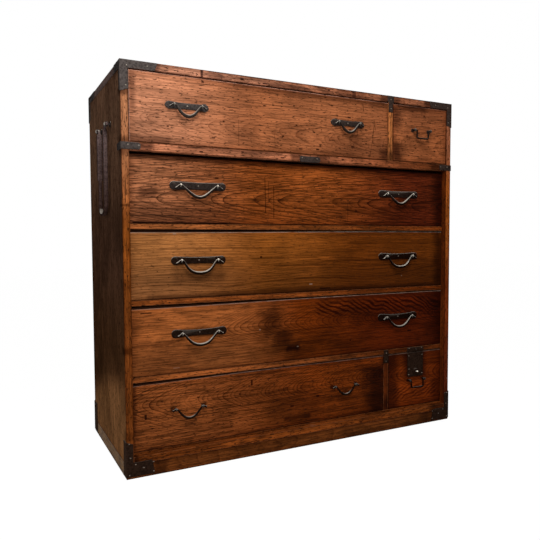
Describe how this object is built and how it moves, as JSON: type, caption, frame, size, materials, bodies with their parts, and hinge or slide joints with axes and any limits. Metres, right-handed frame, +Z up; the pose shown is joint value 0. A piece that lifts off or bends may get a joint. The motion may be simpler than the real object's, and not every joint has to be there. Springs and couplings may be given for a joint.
{
  "type": "clothing chest",
  "caption": "Low wooden clothing chest with sliding drawers, forged swinging bails, iron corner plates, swinging carrying loops and a knob-worked bolt.",
  "frame": {"origin": "on the floor, at the middle of the chest's overall width and depth", "axes": "+X to the right as seen from the front, +Y to the back, +Z up"},
  "size_m": [1.1258, 0.4602, 1.06],
  "materials": {
    "side_wood": "old oiled wood",
    "case_wood": "worn satin",
    "front_wood": "worn satin",
    "inner_wood": "bare, planed",
    "dark_iron": "blackened, dry",
    "worn_iron": "rubbed bright"
  },
  "bodies": {
    "case": {"left_side_panel": "side_wood", "right_side_panel": "side_wood", "top_board": "case_wood", "bottom_board": "case_wood", "floor_lining": "case_wood", "back_boards": "inner_wood", "plinth_rails": "side_wood", "upper_rail": "case_wood", "second_rail": "case_wood", "third_rail": "case_wood", "fourth_rail": "case_wood", "dust_boards": "inner_wood", "upper_divider": "case_wood", "lower_divider": "case_wood", "top_corner_irons": "dark_iron", "foot_corner_irons": "dark_iron", "rail_end_straps": "dark_iron", "divider_straps": "dark_iron", "rail_centre_plate": "dark_iron", "carry_handle_eyes": "dark_iron", "lock_keep_plate": "dark_iron"},
    "top_drawer": {"top_drawer_front": "front_wood", "top_drawer_tray": "inner_wood", "top_drawer_handle_fittings": "dark_iron"},
    "top_drawer_bail_left": {"top_drawer_bail_left": "worn_iron"},
    "top_drawer_bail_right": {"top_drawer_bail_right": "worn_iron"},
    "top_small_drawer": {"top_small_drawer_front": "front_wood", "top_small_drawer_tray": "inner_wood", "top_small_drawer_handle_fittings": "dark_iron"},
    "top_small_drawer_bail": {"top_small_drawer_bail": "worn_iron"},
    "second_drawer": {"second_drawer_front": "front_wood", "second_drawer_tray": "inner_wood", "second_drawer_handle_fittings": "dark_iron"},
    "second_drawer_bail_left": {"second_drawer_bail_left": "worn_iron"},
    "second_drawer_bail_right": {"second_drawer_bail_right": "worn_iron"},
    "third_drawer": {"third_drawer_front": "front_wood", "third_drawer_tray": "inner_wood", "third_drawer_handle_fittings": "dark_iron"},
    "third_drawer_bail_left": {"third_drawer_bail_left": "worn_iron"},
    "third_drawer_bail_right": {"third_drawer_bail_right": "worn_iron"},
    "fourth_drawer": {"fourth_drawer_front": "front_wood", "fourth_drawer_tray": "inner_wood", "fourth_drawer_handle_fittings": "dark_iron"},
    "fourth_drawer_bail_left": {"fourth_drawer_bail_left": "worn_iron"},
    "fourth_drawer_bail_right": {"fourth_drawer_bail_right": "worn_iron"},
    "bottom_drawer": {"bottom_drawer_front": "front_wood", "bottom_drawer_tray": "inner_wood", "bottom_drawer_handle_fittings": "dark_iron"},
    "bottom_drawer_bail_left": {"bottom_drawer_bail_left": "worn_iron"},
    "bottom_drawer_bail_right": {"bottom_drawer_bail_right": "worn_iron"},
    "lock_drawer": {"lock_drawer_front": "front_wood", "lock_drawer_tray": "inner_wood", "lock_drawer_handle_fittings": "dark_iron", "lock_plate": "dark_iron", "lock_case": "dark_iron"},
    "lock_drawer_bail": {"lock_drawer_bail": "worn_iron"},
    "left_carry_bail": {"left_carry_bail": "worn_iron"},
    "right_carry_bail": {"right_carry_bail": "worn_iron"},
    "lock_knob": {"lock_knob": "worn_iron"},
    "lock_bolt": {"lock_bolt": "dark_iron"}
  },
  "joints": [
    {"name": "top_drawer_slide", "type": "slide", "parent": "case", "child": "top_drawer", "axis": [0, -1, 0], "range_m": [0, 0.36]},
    {"name": "top_drawer_bail_left_swing", "type": "hinge", "parent": "top_drawer", "child": "top_drawer_bail_left", "pos_m": [-0.37275, -0.22551, 0.9602], "axis": [-1, 0, 0], "range_deg": [-11, 190]},
    {"name": "top_drawer_bail_right_swing", "type": "hinge", "parent": "top_drawer", "child": "top_drawer_bail_right", "pos_m": [0.13125, -0.22551, 0.9602], "axis": [-1, 0, 0], "range_deg": [-11, 190]},
    {"name": "top_small_drawer_slide", "type": "slide", "parent": "case", "child": "top_small_drawer", "axis": [0, -1, 0], "range_m": [0, 0.36]},
    {"name": "top_small_drawer_bail_swing", "type": "hinge", "parent": "top_small_drawer", "child": "top_small_drawer_bail", "pos_m": [0.41425, -0.22551, 0.9602], "axis": [-1, 0, 0], "range_deg": [-11, 190]},
    {"name": "second_drawer_slide", "type": "slide", "parent": "case", "child": "second_drawer", "axis": [0, -1, 0], "range_m": [0, 0.36]},
    {"name": "second_drawer_bail_left_swing", "type": "hinge", "parent": "second_drawer", "child": "second_drawer_bail_left", "pos_m": [-0.339, -0.2095, 0.7562], "axis": [-1, 0, 0], "range_deg": [-11, 190]},
    {"name": "second_drawer_bail_right_swing", "type": "hinge", "parent": "second_drawer", "child": "second_drawer_bail_right", "pos_m": [0.339, -0.2095, 0.7562], "axis": [-1, 0, 0], "range_deg": [-11, 190]},
    {"name": "third_drawer_slide", "type": "slide", "parent": "case", "child": "third_drawer", "axis": [0, -1, 0], "range_m": [0, 0.36]},
    {"name": "third_drawer_bail_left_swing", "type": "hinge", "parent": "third_drawer", "child": "third_drawer_bail_left", "pos_m": [-0.339, -0.2095, 0.5582], "axis": [-1, 0, 0], "range_deg": [-11, 190]},
    {"name": "third_drawer_bail_right_swing", "type": "hinge", "parent": "third_drawer", "child": "third_drawer_bail_right", "pos_m": [0.339, -0.2095, 0.5582], "axis": [-1, 0, 0], "range_deg": [-11, 190]},
    {"name": "fourth_drawer_slide", "type": "slide", "parent": "case", "child": "fourth_drawer", "axis": [0, -1, 0], "range_m": [0, 0.36]},
    {"name": "fourth_drawer_bail_left_swing", "type": "hinge", "parent": "fourth_drawer", "child": "fourth_drawer_bail_left", "pos_m": [-0.339, -0.2095, 0.3632], "axis": [-1, 0, 0], "range_deg": [-11, 190]},
    {"name": "fourth_drawer_bail_right_swing", "type": "hinge", "parent": "fourth_drawer", "child": "fourth_drawer_bail_right", "pos_m": [0.339, -0.2095, 0.3632], "axis": [-1, 0, 0], "range_deg": [-11, 190]},
    {"name": "bottom_drawer_slide", "type": "slide", "parent": "case", "child": "bottom_drawer", "axis": [0, -1, 0], "range_m": [0, 0.36]},
    {"name": "bottom_drawer_bail_left_swing", "type": "hinge", "parent": "bottom_drawer", "child": "bottom_drawer_bail_left", "pos_m": [-0.37275, -0.2095, 0.1622], "axis": [-1, 0, 0], "range_deg": [-11, 190]},
    {"name": "bottom_drawer_bail_right_swing", "type": "hinge", "parent": "bottom_drawer", "child": "bottom_drawer_bail_right", "pos_m": [0.13125, -0.2095, 0.1622], "axis": [-1, 0, 0], "range_deg": [-11, 190]},
    {"name": "lock_drawer_slide", "type": "slide", "parent": "case", "child": "lock_drawer", "axis": [0, -1, 0], "range_m": [0, 0.36]},
    {"name": "lock_drawer_bail_swing", "type": "hinge", "parent": "lock_drawer", "child": "lock_drawer_bail", "pos_m": [0.41425, -0.2095, 0.149], "axis": [-1, 0, 0], "range_deg": [-10, 155]},
    {"name": "left_carry_bail_swing", "type": "hinge", "parent": "case", "child": "left_carry_bail", "pos_m": [-0.5555, -0.02751, 0.922], "axis": [0, 1, 0], "range_deg": [0, 180]},
    {"name": "right_carry_bail_swing", "type": "hinge", "parent": "case", "child": "right_carry_bail", "pos_m": [0.5555, -0.02751, 0.922], "axis": [0, -1, 0], "range_deg": [0, 180]},
    {"name": "lock_knob_turn", "type": "hinge", "parent": "lock_drawer", "child": "lock_knob", "pos_m": [0.41425, -0.1975, 0.175], "axis": [0, -1, 0], "range_deg": [0, 89.56]},
    {"name": "lock_bolt_slide", "type": "slide", "parent": "lock_drawer", "child": "lock_bolt", "axis": [0, 0, 1], "range_m": [0, 0.009]}
  ],
  "couplings": [
    {"joint": "lock_knob_turn", "follows": "lock_bolt_slide", "rad_per_m": 173.28}
  ]
}
